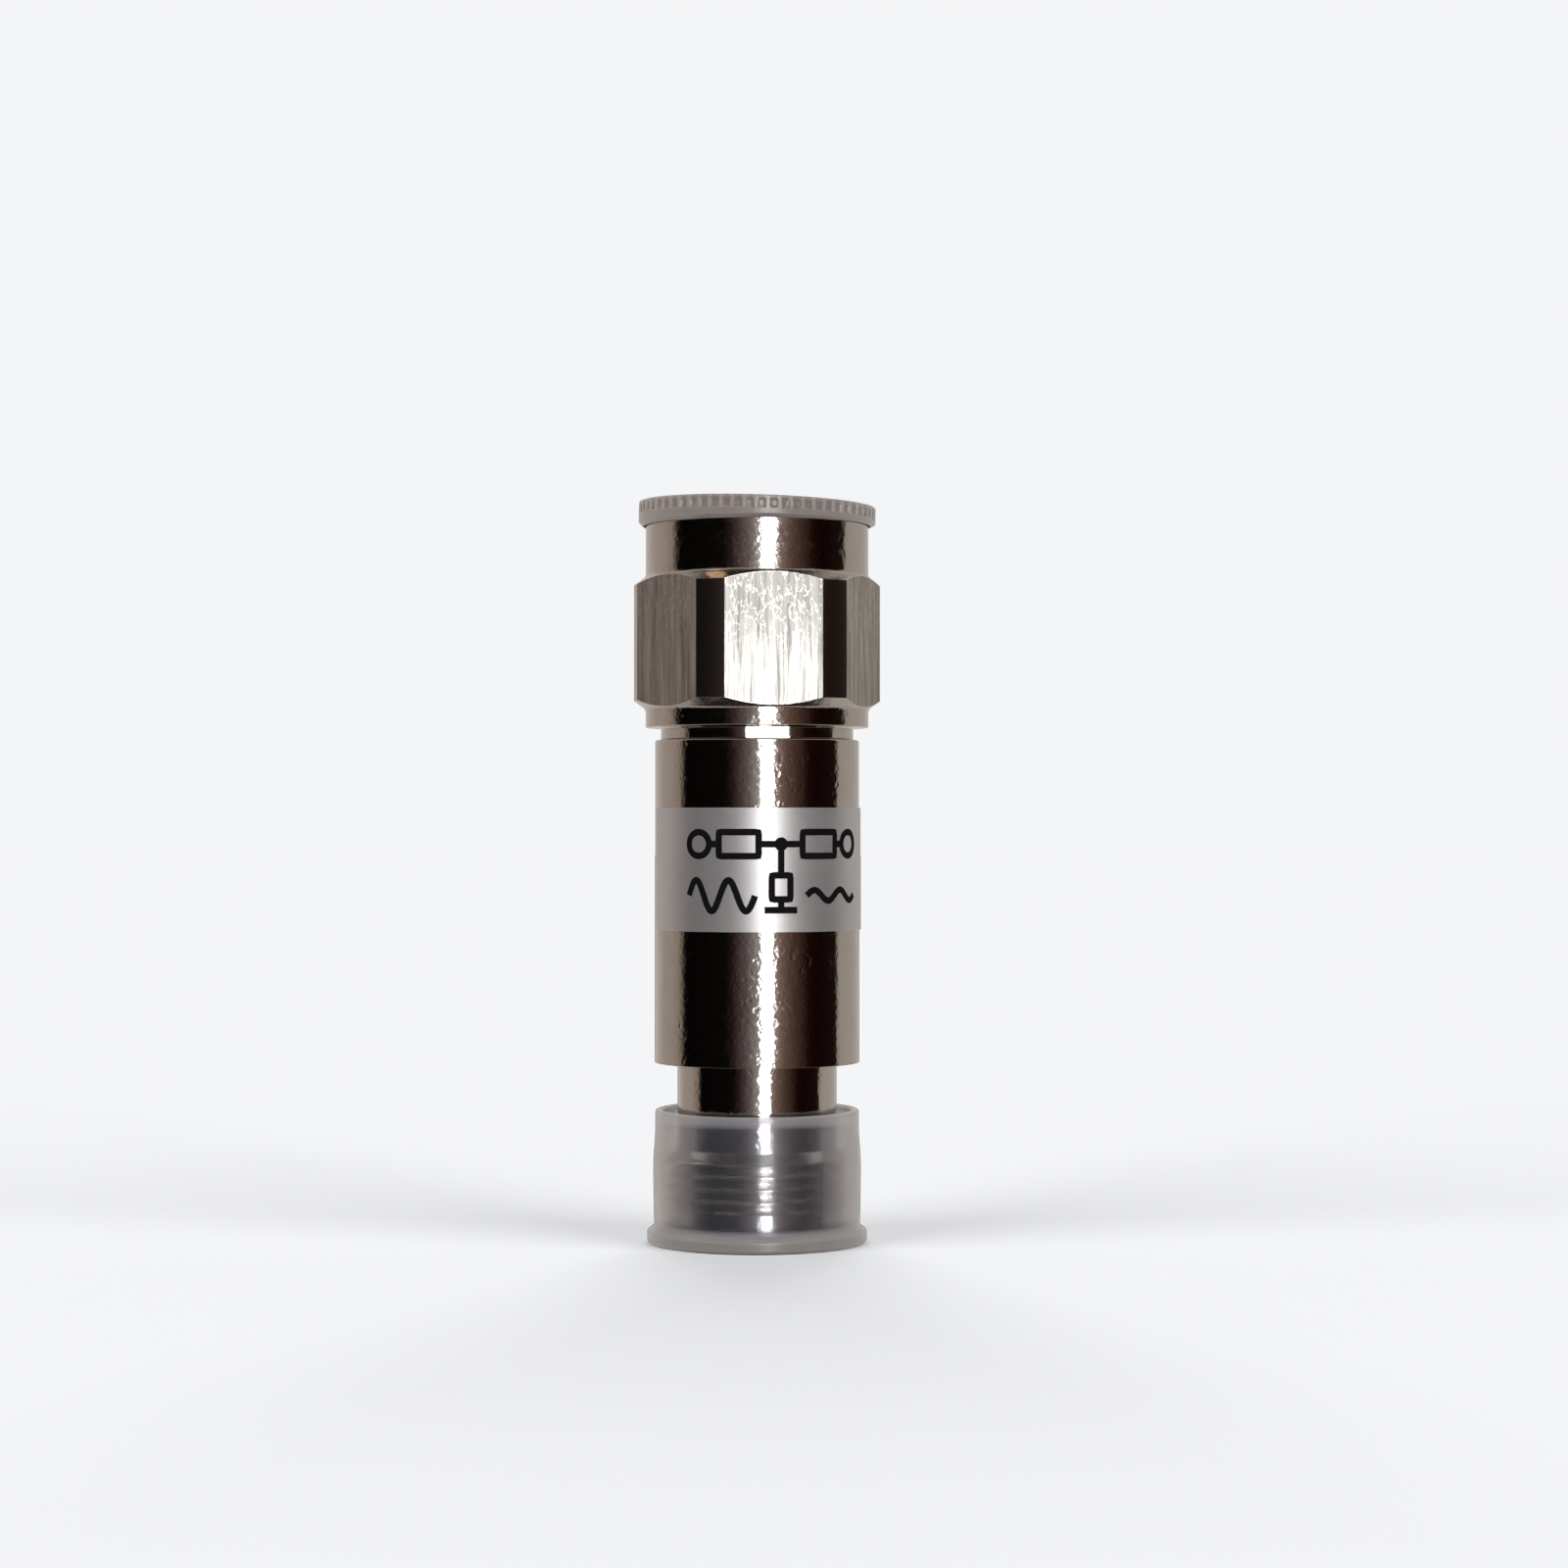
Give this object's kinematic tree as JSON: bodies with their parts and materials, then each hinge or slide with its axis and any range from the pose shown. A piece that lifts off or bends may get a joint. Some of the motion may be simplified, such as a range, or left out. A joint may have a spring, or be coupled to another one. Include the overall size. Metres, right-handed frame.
{
  "type": "coaxial fixed rf attenuator",
  "caption": "Inline coaxial attenuator: a tube with a hexagon-nut plug at one end, a threaded jack at the other, and push-on dust caps on both.",
  "frame": {"origin": "middle of the underside of the jack's dust cap, where the part stands", "axes": "+Z along the connector axis from the jack to the plug, -Y towards the viewer, +X to the viewer's right"},
  "size_m": [0.0212, 0.0204, 0.0634],
  "materials": {
    "nickel_plating": "bright nickel plate, faintly rippled",
    "nut_nickel": "nickel plate, flats brushed along the axis, round parts bright",
    "gold_plating": "gold plate, bright",
    "bare_brass": "turned, satin",
    "spring_bronze": "drawn wire, satin",
    "chip_ceramic": "matte fired ceramic with a dark film and silver pads",
    "white_bead": "turned fluoropolymer, waxy",
    "red_silicone": "matte",
    "label_foil": "satin silver film with black print",
    "clear_cap": "translucent moulded polyethylene, satin",
    "frosted_cap": "translucent moulded polyethylene, satin"
  },
  "bodies": {
    "attenuator": {"jack_shell": "nickel_plating", "jack_insulator": "white_bead", "jack_bead_retainer": "bare_brass", "jack_center_contact": "gold_plating", "output_chip_contact": "gold_plating", "attenuator_chip": "chip_ceramic", "chip_holder_front": "bare_brass", "chip_holder_back": "bare_brass", "main_body": "nickel_plating", "rating_label": "label_foil", "input_chip_contact": "gold_plating", "plug_shell": "nickel_plating", "plug_center_pin": "gold_plating", "plug_insulator": "white_bead", "plug_bead_retainer": "bare_brass", "plug_gasket": "red_silicone", "nut_retaining_ring": "spring_bronze"},
    "nut": {"coupling_nut": "nut_nickel"},
    "upper_cap": {"plug_dust_cap": "frosted_cap"},
    "lower_cap": {"jack_dust_cap": "clear_cap"}
  },
  "joints": [
    {"name": "nut_spin", "type": "hinge", "parent": "attenuator", "child": "nut", "pos_m": [0, 0, 0.0528], "axis": [0, 0, 1], "continuous": true},
    {"name": "upper_cap_pull", "type": "slide", "parent": "nut", "child": "upper_cap", "axis": [0, 0, 1], "range_m": [0, 0.02]},
    {"name": "lower_cap_pull", "type": "slide", "parent": "attenuator", "child": "lower_cap", "axis": [0, 0, -1], "range_m": [0, 0.02]}
  ]
}
